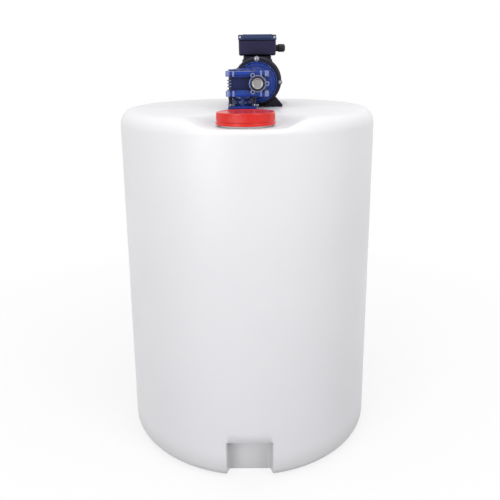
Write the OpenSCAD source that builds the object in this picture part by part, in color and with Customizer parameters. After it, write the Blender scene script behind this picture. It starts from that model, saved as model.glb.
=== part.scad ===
// Mixing tank: an upright plastic tank with a screw lid and a geared mixer on its deck.
// Origin: tank axis at the floor. The lid and the base recess are at the front, -Y.

/* [Tank] */
// Outer diameter of the tank
tank_d = 820; // [780:10:900]
// Height of the deck at its rear rim
tank_h = 1100; // [1000:10:1200]
// Thickness of the moulded wall
wall_t = 6; // [5:0.5:7]
// Outer radius of the shoulder between wall and deck
shoulder_r = 58; // [54:1:64]
// Outer radius between base and wall
base_r = 30; // [24:1:36]
// Drop of the level front half of the deck below the rear rim
deck_drop = 11; // [8:1:14]

/* [Base recess] */
// Width of the recess at its flat back
recess_w = 128; // [110:2:140]
// Extra width at the tank's face, shared by both sides
recess_flare = 9; // [6:1:14]
// Height of the recess above the floor
recess_h = 121; // [100:1:140]
// Depth of the recess from the tank's face
recess_depth = 49; // [42:1:60]

/* [Filling neck and lid] */
// Distance from the tank's face back to the neck's axis
neck_inset = 110; // [106:1:120]
// Distance of the neck's axis to the left of the tank's axis
neck_offset = 4; // [0:1:8]
// Clear bore of the neck
neck_bore = 132; // [120:2:136]
// Wall of the neck
neck_t = 6; // [5:0.5:6]
// Height of the thread ridges on the neck
thread_h = 3; // [2:0.5:3]
// Drop of the lid's flat seat below the level front half
seat_drop = 30; // [26:1:32]
// Flat margin of the seat round the lid
seat_margin = 8; // [6:1:20]
// Height of the lid
lid_h = 35; // [33:1:42]
// Wall and top of the lid
lid_t = 4; // [4:0.5:6]
// Radial clearance between the thread ridges and the lid
lid_gap = 5; // [5:0.5:6]
// Thickness of the ring seal under the lid
seal_t = 3; // [2:0.5:4]
// Clearance under the skirt of the closed lid
skirt_gap = 5; // [5:0.5:7]

/* [Gearbox] */
// Height of the motor's shaft above the deck
shaft_h = 80; // [80:1:90]
// Place of the motor's axis to the right of the tank's axis
motor_x = 32; // [26:1:38]
// Distance between the worm and the output shaft
worm_centres = 46; // [44:1:50]
// Clear deck between the lid and the foot plate of the output flange
mixer_gap = 67; // [56:1:70]
// Width of the gearbox housing
gearbox_w = 130; // [124:1:136]
// Depth of the gearbox housing from front to back
gearbox_depth = 112; // [104:1:116]
// Height of the gearbox housing
gearbox_h = 76; // [70:1:80]
// Diameter of the bearing cover at the front end of the worm
bearing_cover_d = 48; // [44:1:54]
// Diameter of the cap in the bearing cover
cap_d = 34; // [30:1:38]
// Diameter of the round covers over the output bearings
output_cover_d = 86; // [80:1:90]
// Diameter of the column of the output flange
column_d = 60; // [54:1:70]
// Side of the square foot plate of the output flange
foot_w = 88; // [82:1:100]
// Thickness of the foot plate
foot_t = 12; // [10:1:14]
// Diameter of the four posts between foot plate and gearbox
post_d = 12; // [10:1:14]

/* [Motor] */
// Diameter over the motor's fins
motor_d = 157; // [150:1:159]
// Length of the finned motor body
motor_l = 130; // [120:2:150]
// Thickness of each motor end shield
shield_t = 24; // [20:1:28]
// Diameter of the flange between gearbox and motor
input_flange_d = 130; // [120:2:136]
// Number of cooling fins round the motor
fin_n = 36; // [28:2:44]
// Height of the cooling fins
fin_h = 10; // [8:1:12]
// Thickness of the cooling fins
fin_t = 3; // [2:0.5:4]
// Width over the motor's feet
feet_w = 170; // [160:2:180]
// Thickness of the motor's feet
feet_t = 7; // [6:1:10]
// Length of the fan cowl
cowl_l = 62; // [56:1:70]
// Sheet thickness of the fan cowl
cowl_t = 3; // [2:0.5:4]
// Diameter of the fan
fan_d = 128; // [116:2:134]

/* [Terminal box] */
// Width of the terminal box
box_w = 121; // [114:1:126]
// Distance of the terminal box to the right of the motor's axis
box_offset = 3; // [0:1:5]
// Depth of the terminal box from front to back
box_depth = 104; // [96:2:112]
// Height of the terminal box without its lid
box_h = 48; // [42:1:54]
// Height of the terminal box lid
box_lid_h = 18; // [16:1:24]
// Overhang of the lid past the box
box_lid_lip = 1.5; // [1:0.5:4]
// Height of the box's lower face above the motor's axis
box_rise = 85; // [84:1:92]
// Outer diameter of the cable gland
gland_d = 26; // [22:1:28]
// Bore of the gland's nut
gland_bore = 12; // [8:1:13]

/* [Agitator] */
// Diameter of the agitator shaft
agitator_d = 25; // [22:1:28]
// Running clearance of the shaft in the gearbox
shaft_gap = 0.1; // [0.05:0.05:0.1]
// Diameter of the shaft coupling
coupling_d = 56; // [50:1:64]
// Length of the shaft coupling
coupling_l = 90; // [80:1:100]
// Height of the middle of the impeller above the floor
impeller_z = 220; // [200:5:260]
// Diameter of the impeller
impeller_d = 260; // [220:5:300]
// Width of each impeller blade
blade_w = 60; // [50:1:70]
// Thickness of each impeller blade
blade_t = 5; // [4:0.5:6]
// Pitch of the blades in degrees
blade_pitch = 45; // [35:1:50]

/* [Hidden] */
$fn = 96;

// Colours
plastic_white = [0.94, 0.95, 0.95];
lid_red = [0.86, 0.12, 0.10];
gearbox_blue = [0.08, 0.25, 0.65];
motor_navy = [0.10, 0.10, 0.20];
bright_steel = [0.75, 0.76, 0.78];
rubber_black = [0.08, 0.08, 0.08];

// Tank heights and angles
tank_r = tank_d / 2;
segments = 8;
segment_angle = 360 / segments;
shoulder_z = tank_h - shoulder_r;
past = 1;
far = 3 * tank_d;

// Lid and neck, worked out from the seat up
platform_z = tank_h - deck_drop;
neck_x = -neck_offset;
neck_y = -(tank_r - neck_inset);
seat_z = platform_z - seat_drop;
neck_r = neck_bore / 2 + neck_t;
lid_inner_r = neck_r + thread_h + lid_gap;
lid_r = lid_inner_r + lid_t;
seat_r = lid_r + seat_margin;
seat_bank = 50;
lid_z = seat_z + skirt_gap;
lid_top_z = lid_z + lid_h;
neck_top_z = lid_top_z - lid_t - seal_t;
thread_pitch = 9;
thread_w = 4;
thread_n = 2;

// Mixer places
axis_z = platform_z + shaft_h;
output_x = motor_x - worm_centres;
output_y = neck_y + lid_r + mixer_gap + foot_w / 2;
gearbox_front_y = output_y - gearbox_depth / 2;
gearbox_back_y = output_y + gearbox_depth / 2;
gearbox_bottom_z = axis_z - gearbox_h / 2;
gearbox_top_z = axis_z + gearbox_h / 2;
worm_side = 34;
gearbox_right_x = motor_x + worm_side;
gearbox_left_x = gearbox_right_x - gearbox_w;
bearing_cover_t = 4;
cap_t = 3;
output_cover_t = 6;
post_inset = 7;
post_reach = foot_w / 2 - post_inset;
bottom_cover_r = min(output_cover_d / 2, post_reach * sqrt(2) - post_d / 2 - 1);
motor_margin = 12;
input_flange_t = 12;
input_neck_d = 84;
input_neck_l = 10;
shield_y = gearbox_back_y + input_neck_l + input_flange_t;
body_y = shield_y + shield_t;
rear_shield_y = body_y + motor_l;
cowl_y = rear_shield_y + shield_t;
core_r = motor_d / 2 - fin_h;
cowl_r = motor_d / 2;
fan_shaft_d = 20;
fan_hub_d = 36;
fan_clearance = 8;
fan_l = cowl_l - cowl_t - 2 * fan_clearance;
box_z = axis_z + box_rise;
box_x = motor_x + box_offset;
box_y = body_y + 8;
box_neck_w = 91;
box_neck_depth = 84;
gland_z = box_z + box_h / 2;
gland_y = box_y + box_depth / 2;
gland_collar_l = 8.5;
gland_nut_l = 24;

// Agitator places
shaft_hole_r = coupling_d / 2 + 6;
coupling_drop = 30;
coupling_top_z = platform_z - coupling_drop;
shaft_tail = 20;
shaft_end_z = impeller_z - blade_w / 2 - shaft_tail;
shaft_top_z = gearbox_top_z - 4;
hub_wall = 15;
hub_d = agitator_d + 2 * hub_wall;
hub_h = blade_w + 6;
blade_n = 4;

// Tank shell

// Region inside a body of the tank's outline, drawn in by t on every side
module tank_profile(t) {
  inner_r = tank_r - t;
  top_r = shoulder_r - t;
  low_r = base_r - t;
  difference() {
    union() {
      translate([0, base_r]) square([inner_r, shoulder_z - base_r]);
      translate([0, t]) square([tank_r - base_r, tank_h - 2 * t]);
      translate([0, shoulder_z - past]) square([tank_r - shoulder_r, shoulder_r - t + past]);
      intersection() {
        translate([tank_r - base_r, base_r]) circle(low_r);
        translate([0, t]) square([tank_r, base_r]);
      }
      intersection() {
        translate([tank_r - shoulder_r, shoulder_z]) circle(top_r);
        square([tank_r, tank_h]);
      }
    }
    shoulder_corner(t, top_r);
  }
}

// Corner outside the shoulder's arc
module shoulder_corner(t, top_r) {
  difference() {
    translate([tank_r - shoulder_r, shoulder_z]) square(shoulder_r + past);
    translate([tank_r - shoulder_r, shoulder_z]) circle(top_r);
  }
}

// Whole tank as a solid, with a level front half and a rear half that rises to the rim
module tank_form(t) {
  difference() {
    rotate_extrude() tank_profile(t);
    deck_cut(t);
    motor_cut(t);
    seat_cut(t);
  }
}

// Room over the deck: level in front of the tank's axis, rising to the rim behind it
module deck_cut(t) {
  ramp_end_y = tank_r - shoulder_r;
  over_z = tank_h + shoulder_r;
  translate([-far / 2, 0, 0])
    rotate([90, 0, 90])
      linear_extrude(far)
        polygon([
          [-far / 2, platform_z - t], [0, platform_z - t], [ramp_end_y, tank_h - t],
          [ramp_end_y, over_z], [-far / 2, over_z]
        ]);
}

// Level place for the motor in the rising half
module motor_cut(t) {
  half_w = feet_w / 2 + motor_margin + t;
  back_y = cowl_y + cowl_l + motor_margin + t;
  translate([motor_x - half_w, -past, platform_z - t])
    cube([2 * half_w, back_y + past, deck_drop + t + past]);
}

// Room over the lid's flat seat, with banked sides and open to the front
module seat_cut(t) {
  rise = seat_drop + t + past;
  low_r = seat_r + t;
  high_r = low_r + seat_bank;
  translate([neck_x, neck_y, seat_z - t]) {
    cylinder(h = rise, r1 = low_r, r2 = high_r);
    rotate([90, 0, 0])
      linear_extrude(tank_r)
        polygon([[-low_r, 0], [low_r, 0], [high_r, rise], [-high_r, rise]]);
  }
}

// Straight wall all round, between two heights
module wall_band(z0, z1) {
  translate([0, 0, z0])
    difference() {
      cylinder(h = z1 - z0, r = tank_r);
      translate([0, 0, -past]) cylinder(h = z1 - z0 + 2 * past, r = tank_r - wall_t);
    }
}

// Wedge that takes one segment of the wall
module segment_wedge(middle_angle) {
  reach = tank_r * 1.2;
  half = segment_angle / 2;
  rotate([0, 0, middle_angle])
    linear_extrude(tank_h)
      polygon([
        [0, 0],
        [reach * cos(half), -reach * sin(half)],
        [reach * cos(half), reach * sin(half)]
      ]);
}

module wall_segment(middle_angle) {
  color(plastic_white)
    difference() {
      intersection() {
        wall_band(base_r, shoulder_z);
        segment_wedge(middle_angle);
      }
      recess_prism(0);
    }
}

// Hollow of the base recess, grown by t on every side but the front and floor
module recess_prism(t) {
  back_half = recess_w / 2 + t;
  face_half = back_half + recess_flare / 2;
  back_y = -(tank_r - recess_depth) + t;
  translate([0, 0, -past])
    linear_extrude(recess_h + t + past)
      polygon([
        [-back_half, back_y], [-face_half, -tank_r],
        [-face_half, -tank_r - past], [face_half, -tank_r - past],
        [face_half, -tank_r], [back_half, back_y]
      ]);
}

module wall_front() wall_segment(-90);
module wall_front_right() wall_segment(-45);
module wall_right() wall_segment(0);
module wall_back_right() wall_segment(45);
module wall_back() wall_segment(90);
module wall_back_left() wall_segment(135);
module wall_left() wall_segment(180);
module wall_front_left() wall_segment(-135);

module tank_base() {
  color(plastic_white)
    difference() {
      intersection() {
        tank_form(0);
        cylinder(h = base_r, r = tank_r + past);
      }
      tank_form(wall_t);
      recess_prism(0);
    }
}

module base_recess() {
  color(plastic_white)
    difference() {
      intersection() {
        recess_prism(wall_t);
        tank_form(wall_t);
      }
      recess_prism(0);
    }
}

module tank_top() {
  color(plastic_white)
    difference() {
      tank_form(0);
      tank_form(wall_t);
      translate([0, 0, -past]) cylinder(h = shoulder_z + past, r = tank_r + past);
      translate([neck_x, neck_y, seat_z - wall_t - past])
        cylinder(h = seat_drop, r = neck_bore / 2);
      at_output(shoulder_z) cylinder(h = shoulder_r, r = shaft_hole_r);
    }
}

// Filling neck and lid

module filling_neck() {
  neck_h = neck_top_z - seat_z;
  color(plastic_white)
    translate([neck_x, neck_y, seat_z])
      difference() {
        union() {
          cylinder(h = neck_h, r = neck_r);
          for (i = [0 : thread_n - 1])
            translate([0, 0, neck_h - thread_w - 3 - i * thread_pitch])
              cylinder(h = thread_w, r = neck_r + thread_h);
        }
        translate([0, 0, -past]) cylinder(h = neck_h + 2 * past, r = neck_bore / 2);
      }
}

module lid() {
  color(lid_red)
    translate([neck_x, neck_y, lid_z])
      difference() {
        cylinder(h = lid_h, r = lid_r);
        translate([0, 0, -past]) cylinder(h = lid_h - lid_t + past, r = lid_inner_r);
      }
}

module lid_seal() {
  color(rubber_black)
    translate([neck_x, neck_y, neck_top_z])
      difference() {
        cylinder(h = seal_t, r = neck_r + 2);
        translate([0, 0, -past]) cylinder(h = seal_t + 2 * past, r = neck_bore / 2);
      }
}

// Gearbox

module at_output(z) {
  translate([output_x, output_y, z]) children();
}

// Solid cylinder along +Y from y0, centred on the motor's axis
module motor_disc(y0, length, radius) {
  translate([motor_x, y0 + length, axis_z]) rotate([90, 0, 0]) cylinder(h = length, r = radius);
}

module output_flange() {
  flange_h = gearbox_bottom_z - output_cover_t - platform_z;
  color(gearbox_blue)
    at_output(platform_z)
      difference() {
        union() {
          translate([-foot_w / 2, -foot_w / 2, 0]) cube([foot_w, foot_w, foot_t]);
          cylinder(h = flange_h, r = column_d / 2);
        }
        translate([0, 0, -past]) cylinder(h = flange_h + 2 * past, r = agitator_d / 2 + 2);
      }
}

// Posts at the corners of the foot plate that carry the gearbox
module spacer_posts() {
  color(motor_navy)
    for (x = [-1, 1], y = [-1, 1])
      at_output(platform_z + foot_t)
        translate([x * post_reach, y * post_reach, 0])
          cylinder(h = gearbox_bottom_z - platform_z - foot_t, r = post_d / 2);
}

module gearbox_bottom_cover() {
  color(gearbox_blue)
    at_output(gearbox_bottom_z - output_cover_t)
      difference() {
        cylinder(h = output_cover_t, r = bottom_cover_r);
        translate([0, 0, -past])
          cylinder(h = output_cover_t + 2 * past, r = agitator_d / 2 + shaft_gap);
      }
}

module gearbox_top_cover() {
  color(gearbox_blue)
    at_output(gearbox_top_z) cylinder(h = output_cover_t, r = output_cover_d / 2);
}

module gearbox_housing() {
  corner_r = 14;
  rib_n = 3;
  rib_gap = 9;
  rib_cut = 4;
  panel_x = gearbox_left_x + 20;
  panel_w = motor_x - bearing_cover_d / 2 - 4 - panel_x;
  panel_h = 34;
  panel_cut = 8;
  color(gearbox_blue)
    difference() {
      housing_block(corner_r);
      at_output(gearbox_bottom_z - past)
        cylinder(h = shaft_top_z - gearbox_bottom_z + past, r = agitator_d / 2 + shaft_gap);
      for (i = [0 : rib_n - 1])
        translate([gearbox_left_x - past, gearbox_front_y - past, axis_z + rib_gap * (i - 1) - rib_cut / 2])
          cube([rib_cut + past, gearbox_depth + 2 * past, rib_cut]);
      translate([panel_x, gearbox_front_y - past, axis_z - panel_h / 2])
        cube([panel_w, panel_cut + past, panel_h]);
    }
}

// Upright block with round corners
module housing_block(corner_r) {
  x0 = gearbox_left_x + corner_r;
  x1 = gearbox_right_x - corner_r;
  y0 = gearbox_front_y + corner_r;
  y1 = gearbox_back_y - corner_r;
  translate([0, 0, gearbox_bottom_z])
    linear_extrude(gearbox_h)
      union() {
        translate([x0, gearbox_front_y]) square([x1 - x0, gearbox_depth]);
        translate([gearbox_left_x, y0]) square([gearbox_w, y1 - y0]);
        for (x = [x0, x1], y = [y0, y1]) translate([x, y]) circle(corner_r);
      }
}

module worm_bearing_cover() {
  color(motor_navy) motor_disc(gearbox_front_y - bearing_cover_t, bearing_cover_t, bearing_cover_d / 2);
}

module worm_end_cap() {
  color(bright_steel)
    motor_disc(gearbox_front_y - bearing_cover_t - cap_t, cap_t, cap_d / 2);
}

module input_flange() {
  color(gearbox_blue) {
    motor_disc(gearbox_back_y, input_neck_l, input_neck_d / 2);
    motor_disc(gearbox_back_y + input_neck_l, input_flange_t, input_flange_d / 2);
  }
}

// Motor

module motor_front_shield() {
  color(motor_navy) motor_disc(shield_y, shield_t, cowl_r);
}

module motor_body() {
  color(motor_navy)
    union() {
      motor_disc(body_y, motor_l, core_r);
      for (i = [0 : fin_n - 1])
        translate([motor_x, body_y, axis_z])
          rotate([0, (i + 0.5) * 360 / fin_n, 0])
            translate([core_r - 2, 0, -fin_t / 2]) cube([fin_h + 2, motor_l, fin_t]);
    }
}

// Two feet with sloping webs that meet the round motor body
module motor_feet() {
  inner_x = 18;
  web_x = 64;
  web_z = 32;
  color(motor_navy)
    difference() {
      for (side = [-1, 1])
        translate([motor_x, body_y + motor_l, platform_z])
          mirror([(1 - side) / 2, 0, 0])
            rotate([90, 0, 0])
              linear_extrude(motor_l)
                polygon([
                  [inner_x, 0], [feet_w / 2, 0], [feet_w / 2, feet_t],
                  [web_x, web_z], [inner_x, web_z]
                ]);
      motor_disc(body_y - past, motor_l + 2 * past, cowl_r);
    }
}

module motor_rear_shield() {
  color(motor_navy) {
    motor_disc(rear_shield_y, shield_t, cowl_r - cowl_t);
    motor_disc(cowl_y, fan_clearance + fan_l + 2, fan_shaft_d / 2);
  }
}

module fan_cowl() {
  grille_bars = 12;
  bar_t = 6;
  hub_r = 22;
  open_r = cowl_r - 16;
  overlap = shield_t / 2;
  back_y = cowl_y + cowl_l - cowl_t;
  color(motor_navy)
    difference() {
      motor_disc(cowl_y - overlap, cowl_l + overlap, cowl_r);
      motor_disc(cowl_y - overlap - past, cowl_l + overlap - cowl_t + past, cowl_r - cowl_t);
      difference() {
        motor_disc(back_y - past, cowl_t + 2 * past, open_r);
        motor_disc(back_y - 2 * past, cowl_t + 4 * past, hub_r);
        for (i = [0 : grille_bars - 1])
          translate([motor_x, back_y - 2 * past, axis_z])
            rotate([0, i * 360 / grille_bars, 0])
              translate([0, 0, -bar_t / 2]) cube([cowl_r, cowl_t + 4 * past, bar_t]);
      }
    }
}

module motor_fan() {
  fan_blades = 6;
  fan_blade_t = 3;
  fan_y = cowl_y + fan_clearance;
  color(rubber_black)
    difference() {
      union() {
        motor_disc(fan_y, fan_l, fan_hub_d / 2);
        motor_disc(fan_y, 3, fan_d / 2 - 14);
        for (i = [0 : fan_blades - 1])
          translate([motor_x, fan_y, axis_z])
            rotate([0, i * 360 / fan_blades, 0])
              translate([0, 0, -fan_blade_t / 2]) cube([fan_d / 2, fan_l, fan_blade_t]);
      }
      motor_disc(fan_y - past, fan_l + 2 * past, fan_shaft_d / 2);
    }
}

// Terminal box

module box_block(y0, z0, w, depth, h) {
  translate([box_x - w / 2, y0, z0]) cube([w, depth, h]);
}

module terminal_box_neck() {
  neck_y0 = box_y + (box_depth - box_neck_depth) / 2;
  color(motor_navy)
    difference() {
      box_block(neck_y0, axis_z, box_neck_w, box_neck_depth, box_rise);
      motor_disc(body_y - past, motor_l + 2 * past, cowl_r);
    }
}

module terminal_box() {
  color(motor_navy) box_block(box_y, box_z, box_w, box_depth, box_h);
}

module terminal_box_lid() {
  color([0.22, 0.28, 0.42])
    box_block(
      box_y - box_lid_lip, box_z + box_h,
      box_w + 2 * box_lid_lip, box_depth + 2 * box_lid_lip, box_lid_h
    );
}

// Solid cylinder along +X from the side of the terminal box
module gland_disc(x0, length, radius, sides = 96) {
  translate([box_x + box_w / 2 + x0, gland_y, gland_z])
    rotate([0, 90, 0]) cylinder(h = length, r = radius, $fn = sides);
}

module cable_gland() {
  color(rubber_black)
    difference() {
      gland_disc(0, gland_collar_l, gland_d / 2 - 2, 6);
      gland_disc(2, gland_collar_l, gland_bore / 2 + 1);
    }
}

module gland_nut() {
  color(rubber_black)
    difference() {
      gland_disc(gland_collar_l, gland_nut_l, gland_d / 2);
      gland_disc(gland_collar_l - past, gland_nut_l + 2 * past, gland_bore / 2);
    }
}

// Agitator

module agitator_shaft() {
  color(bright_steel)
    at_output(shaft_end_z) cylinder(h = shaft_top_z - shaft_end_z - 1, r = agitator_d / 2);
}

module shaft_coupling() {
  color(bright_steel)
    at_output(coupling_top_z - coupling_l)
      difference() {
        cylinder(h = coupling_l, r = coupling_d / 2);
        translate([0, 0, -past]) cylinder(h = coupling_l + 2 * past, r = agitator_d / 2);
      }
}

module impeller_hub() {
  color(bright_steel)
    at_output(impeller_z - hub_h / 2)
      difference() {
        cylinder(h = hub_h, r = hub_d / 2);
        translate([0, 0, -past]) cylinder(h = hub_h + 2 * past, r = agitator_d / 2);
      }
}

module impeller_blades() {
  color(bright_steel)
    at_output(impeller_z)
      intersection() {
        cylinder(h = blade_w + 2, r = impeller_d / 2, center = true);
        difference() {
          for (i = [0 : blade_n - 1])
            rotate([0, 0, i * 360 / blade_n])
              translate([impeller_d / 4 + 1, 0, 0])
                rotate([blade_pitch, 0, 0])
                  cube([impeller_d / 2 + 2, blade_t, blade_w], center = true);
          cylinder(h = blade_w + 4, r = hub_d / 2, center = true);
        }
      }
}

wall_front();
wall_front_right();
wall_right();
wall_back_right();
wall_back();
wall_back_left();
wall_left();
wall_front_left();
tank_base();
base_recess();
tank_top();
filling_neck();
lid();
lid_seal();
output_flange();
spacer_posts();
gearbox_bottom_cover();
gearbox_housing();
gearbox_top_cover();
worm_bearing_cover();
worm_end_cap();
input_flange();
motor_front_shield();
motor_body();
motor_feet();
motor_rear_shield();
fan_cowl();
motor_fan();
terminal_box_neck();
terminal_box();
terminal_box_lid();
cable_gland();
gland_nut();
agitator_shaft();
shaft_coupling();
impeller_hub();
impeller_blades();
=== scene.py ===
"""Looks of a mixing tank: a moulded plastic tank with a screw lid and a geared mixer on its deck."""

import math

import bmesh
import bpy
from mathutils import Matrix, Vector


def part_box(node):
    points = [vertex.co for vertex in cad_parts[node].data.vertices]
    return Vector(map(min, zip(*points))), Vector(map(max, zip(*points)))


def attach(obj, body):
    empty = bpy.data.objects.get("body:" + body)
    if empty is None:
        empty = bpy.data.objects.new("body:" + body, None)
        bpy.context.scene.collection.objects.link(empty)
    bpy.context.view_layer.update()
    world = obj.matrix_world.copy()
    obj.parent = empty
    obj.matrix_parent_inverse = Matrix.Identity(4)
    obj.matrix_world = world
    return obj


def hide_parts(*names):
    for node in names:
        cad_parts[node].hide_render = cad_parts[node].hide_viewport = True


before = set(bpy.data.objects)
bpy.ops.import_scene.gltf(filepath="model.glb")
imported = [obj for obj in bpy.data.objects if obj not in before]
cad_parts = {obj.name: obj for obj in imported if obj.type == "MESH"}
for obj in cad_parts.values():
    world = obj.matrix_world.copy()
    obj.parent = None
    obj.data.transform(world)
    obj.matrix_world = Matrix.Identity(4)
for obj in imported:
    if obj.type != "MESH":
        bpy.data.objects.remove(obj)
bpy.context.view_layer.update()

MM = 0.001
FULL_TURN = 2 * math.pi
WALL_NODES = [
    "wall_front", "wall_front_right", "wall_right", "wall_back_right",
    "wall_back", "wall_back_left", "wall_left", "wall_front_left",
]


# Places read from the frame

def middle(node):
    low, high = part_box(node)
    return (low + high) / 2


TANK_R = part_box("wall_right")[1].x
BASE_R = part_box("tank_base")[1].z
SHOULDER_Z, RIM_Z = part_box("tank_top")[0].z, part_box("tank_top")[1].z
SHOULDER_R = RIM_Z - SHOULDER_Z
FLAT_R = TANK_R - SHOULDER_R
PLATFORM_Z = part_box("output_flange")[0].z
WALL_T = 6 * MM
RECESS_BACK_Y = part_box("base_recess")[1].y - WALL_T
RECESS_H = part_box("base_recess")[1].z - WALL_T
RECESS_HALF = 64 * MM
RECESS_FLARE = 4.5 * MM

NECK_LOW, NECK_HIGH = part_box("filling_neck")
NECK_MID = middle("filling_neck")
NECK_BORE_R = 66 * MM
NECK_R = 72 * MM
THREAD_R = (NECK_HIGH.x - NECK_LOW.x) / 2
SEAT_Z = NECK_LOW.z
LID_LOW, LID_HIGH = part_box("lid")
LID_R = (LID_HIGH.x - LID_LOW.x) / 2
LID_T = 4 * MM
SEAT_R = LID_R + 8 * MM
SEAT_BANK = 50 * MM
SIDE_BANK = 112 * MM

FOOT_LOW, FOOT_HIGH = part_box("output_flange")
FOOT_T = 12 * MM
FOOT_HALF = (FOOT_HIGH.x - FOOT_LOW.x) / 2
OUTPUT = middle("output_flange")
POST_REACH = FOOT_HALF - 7 * MM
BOX_LOW, BOX_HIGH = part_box("gearbox_housing")
WORM = middle("worm_end_cap")
EAR_RING_R = 28.5 * MM
FEET_LOW, FEET_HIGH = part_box("motor_feet")
MOTOR_MARGIN = 12 * MM
MOTOR_PLACE_HALF = (FEET_HIGH.x - FEET_LOW.x) / 2 + MOTOR_MARGIN
MOTOR_PLACE_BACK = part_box("fan_cowl")[1].y + MOTOR_MARGIN


# Mesh tools

def bezel(bm, edges, width, segments=3):
    """Rounds edges with the kind of radius that a mould or a file leaves."""
    bmesh.ops.bevel(
        bm, geom=list(edges), offset=width, offset_type="OFFSET", segments=segments,
        profile=0.5, affect="EDGES", clamp_overlap=True, material=-1,
    )


def block(bm, low, high, radius, segments=3):
    """Adds a box between two corners, with rounded edges."""
    low, high = Vector(low), Vector(high)
    made = bmesh.ops.create_cube(bm, size=1.0)["verts"]
    bmesh.ops.scale(bm, vec=high - low, verts=made)
    bmesh.ops.translate(bm, vec=(low + high) / 2, verts=made)
    bezel(bm, {edge for vert in made for edge in vert.link_edges}, radius, segments)


def arc(centre, radius, start, end, steps=6):
    """Points of an arc in an outline, with angles in degrees."""
    return [
        (
            centre[0] + radius * math.cos(math.radians(start + (end - start) * i / steps)),
            centre[1] + radius * math.sin(math.radians(start + (end - start) * i / steps)),
        )
        for i in range(steps + 1)
    ]


def softened(corners, radius, steps=3):
    """Outline of (across, up) corners, each inner one rounded by about the radius."""
    points = [corners[0]]
    for before, corner, after in zip(corners, corners[1:], corners[2:]):
        here = Vector(corner)
        back, on = Vector(before) - here, Vector(after) - here
        reach = min(radius, back.length * 0.45, on.length * 0.45)
        start, end = here + back.normalized() * reach, here + on.normalized() * reach
        for i in range(steps + 1):
            t = i / steps
            points.append(tuple(start * (1 - t) ** 2 + here * 2 * t * (1 - t) + end * t ** 2))
    points.append(corners[-1])
    return points


def turned(bm, outline, place, steps):
    """Turns an outline of (radius, height) points about the place's Z axis."""
    verts = [bm.verts.new((across, 0, up)) for across, up in outline]
    edges = [bm.edges.new(pair) for pair in zip(verts, verts[1:])]
    known = set(bm.verts) - set(verts)
    bmesh.ops.spin(
        bm, geom=verts + edges, cent=(0, 0, 0), axis=(0, 0, 1),
        angle=FULL_TURN, steps=steps, use_merge=True,
    )
    made = [vert for vert in bm.verts if vert not in known]
    bmesh.ops.remove_doubles(bm, verts=made, dist=1e-6)
    made = [vert for vert in bm.verts if vert not in known]
    bmesh.ops.transform(bm, matrix=place, verts=made)


def peg(bm, radius, tall, place, rounding, steps, corner_steps=3):
    """Round peg that stands on its place, with rounded rims."""
    outline = [(0, 0), (radius, 0), (radius, tall), (0, tall)]
    turned(bm, softened(outline, rounding, corner_steps), place, steps)


def upright(x, y, z=0.0):
    return Matrix.Translation((x, y, z))


def facing(point, direction):
    """Place whose Z axis looks along a direction."""
    turn = Vector(direction).to_track_quat("Z", "Y").to_matrix().to_4x4()
    return Matrix.Translation(point) @ turn


def prism(bm, outline, height, place, radius):
    """Extrudes an outline of (x, y) points along the place's Z axis and rounds its edges."""
    base = [bm.verts.new((x, y, 0)) for x, y in outline]
    known = set(bm.verts) - set(base)
    face = bm.faces.new(base)
    raised = bmesh.ops.extrude_face_region(bm, geom=[face])["geom"]
    top = [item for item in raised if isinstance(item, bmesh.types.BMVert)]
    bmesh.ops.translate(bm, vec=(0, 0, height), verts=top)
    bezel(bm, {edge for vert in base + top for edge in vert.link_edges}, radius, 2)
    made = [vert for vert in bm.verts if vert not in known]
    bmesh.ops.transform(bm, matrix=place, verts=made)


def ring_of(count, radius, start=0.0):
    """Points of a bolt circle."""
    for i in range(count):
        angle = math.radians(start + 360 * i / count)
        yield radius * math.cos(angle), radius * math.sin(angle)


def hexagon(across_flats):
    return list(ring_of(6, across_flats / math.sqrt(3), 30))


def finish_piece(name, bm, material, body, nodes=(), angle=35, outward=True):
    """Turns a bmesh into a piece that rides on a body and stands for some nodes."""
    if outward:
        bmesh.ops.remove_doubles(bm, verts=bm.verts, dist=1e-6)
        bmesh.ops.recalc_face_normals(bm, faces=bm.faces)
    mesh = bpy.data.meshes.new(name)
    bm.to_mesh(mesh)
    bm.free()
    mesh.polygons.foreach_set("use_smooth", [True] * len(mesh.polygons))
    mesh.set_sharp_from_angle(angle=math.radians(angle))
    piece = bpy.data.objects.new(name, mesh)
    bpy.context.scene.collection.objects.link(piece)
    mesh.materials.append(material)
    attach(piece, body)
    if nodes:
        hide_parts(*nodes)
    return piece


def dress(node, material):
    """Gives a CAD node that stays in view its material."""
    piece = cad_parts[node]
    for slot in piece.material_slots:
        slot.material = material
    if not piece.material_slots:
        piece.data.materials.append(material)


# Shader groups

NOISE_ROUGHNESS = 0.55
MIX_FIRST, MIX_SECOND, MIX_COLOUR = 6, 7, 2


def socket_group(name, inputs, outputs):
    """Empty shader group with named number inputs and named outputs."""
    group = bpy.data.node_groups.new(name, "ShaderNodeTree")
    for label, value in inputs:
        made = group.interface.new_socket(label, in_out="INPUT", socket_type="NodeSocketFloat")
        made.default_value = value
    for label, kind in outputs:
        group.interface.new_socket(label, in_out="OUTPUT", socket_type=kind)
    return group, group.nodes.new("NodeGroupInput"), group.nodes.new("NodeGroupOutput")


def add_math(tree, operation, first, second, clamp=False):
    node = tree.nodes.new("ShaderNodeMath")
    node.operation = operation
    node.use_clamp = clamp
    for socket, value in zip(node.inputs, (first, second)):
        if isinstance(value, bpy.types.NodeSocket):
            tree.links.new(value, socket)
        else:
            socket.default_value = value
    return node.outputs[0]


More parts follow.
